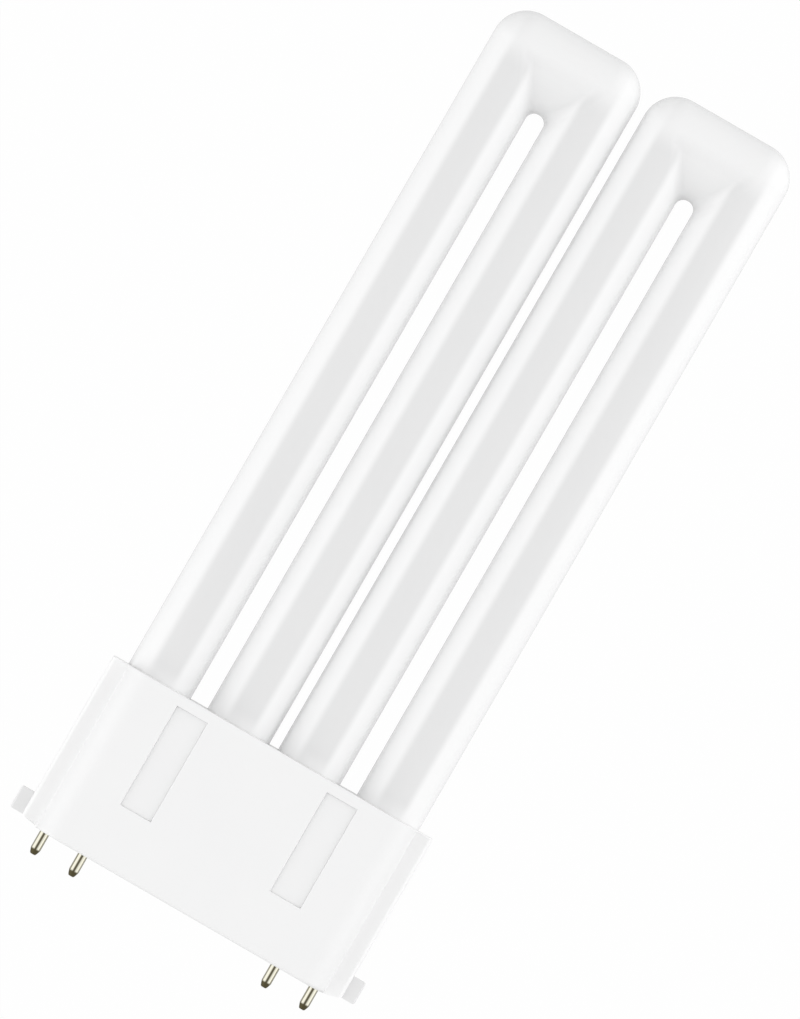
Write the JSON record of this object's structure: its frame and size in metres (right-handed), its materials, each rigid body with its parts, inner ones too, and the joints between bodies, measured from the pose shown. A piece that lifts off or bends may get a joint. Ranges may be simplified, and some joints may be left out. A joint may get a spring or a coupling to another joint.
{
  "type": "flat twin tube led lamp",
  "caption": "Flat LED lamp with opal U-shaped tubes side by side on a wide snap-fit cap with contact pins.",
  "frame": {"origin": "middle of the cap's lower face, half way through its depth", "axes": "+Y from the cap to the tube tips, +X across the tubes, +Z out of the front face"},
  "size_m": [0.09, 0.2227, 0.023],
  "materials": {
    "housing_plastic": "fine satin moulded white",
    "holder_plastic": "fine satin moulded white",
    "opal_plastic": "glossy opal white",
    "contact_metal": "bright plated brass",
    "strip_aluminium": "white solder mask on aluminium",
    "led_package": "white package with a yellow phosphor face",
    "connector_plastic": "natural moulded",
    "board_laminate": "solder mask on glass laminate",
    "ferrite": "ground ferrite",
    "black_plastic": "moulded epoxy",
    "copper_winding": "enamelled wire under tape",
    "capacitor_can": "sleeved can",
    "film_case": "dipped case",
    "resistor_lacquer": "lacquered body",
    "lead_insulation": "thin insulated lead"
  },
  "bodies": {
    "root": {"base_housing": "housing_plastic", "tube_holder": "holder_plastic", "diffuser_tube_left": "opal_plastic", "diffuser_tube_right": "opal_plastic", "driver_board": "board_laminate", "transformer_core": "ferrite", "transformer_bobbin": "black_plastic", "transformer_coil": "copper_winding", "input_capacitor": "capacitor_can", "output_capacitor": "capacitor_can", "film_capacitor": "film_case", "filter_choke": "ferrite", "bridge_rectifier": "black_plastic", "control_chip": "black_plastic", "fuse_resistor": "resistor_lacquer", "contact_pin_1": "contact_metal", "led_board_1": "strip_aluminium", "led_chips_1": "led_package", "strip_connector_1": "connector_plastic", "pin_lead_1": "lead_insulation", "contact_pin_2": "contact_metal", "led_board_2": "strip_aluminium", "led_chips_2": "led_package", "strip_connector_2": "connector_plastic", "pin_lead_2": "lead_insulation", "contact_pin_3": "contact_metal", "led_board_3": "strip_aluminium", "led_chips_3": "led_package", "strip_connector_3": "connector_plastic", "pin_lead_3": "lead_insulation", "contact_pin_4": "contact_metal", "led_board_4": "strip_aluminium", "led_chips_4": "led_package", "strip_connector_4": "connector_plastic", "pin_lead_4": "lead_insulation"}
  },
  "joints": []
}
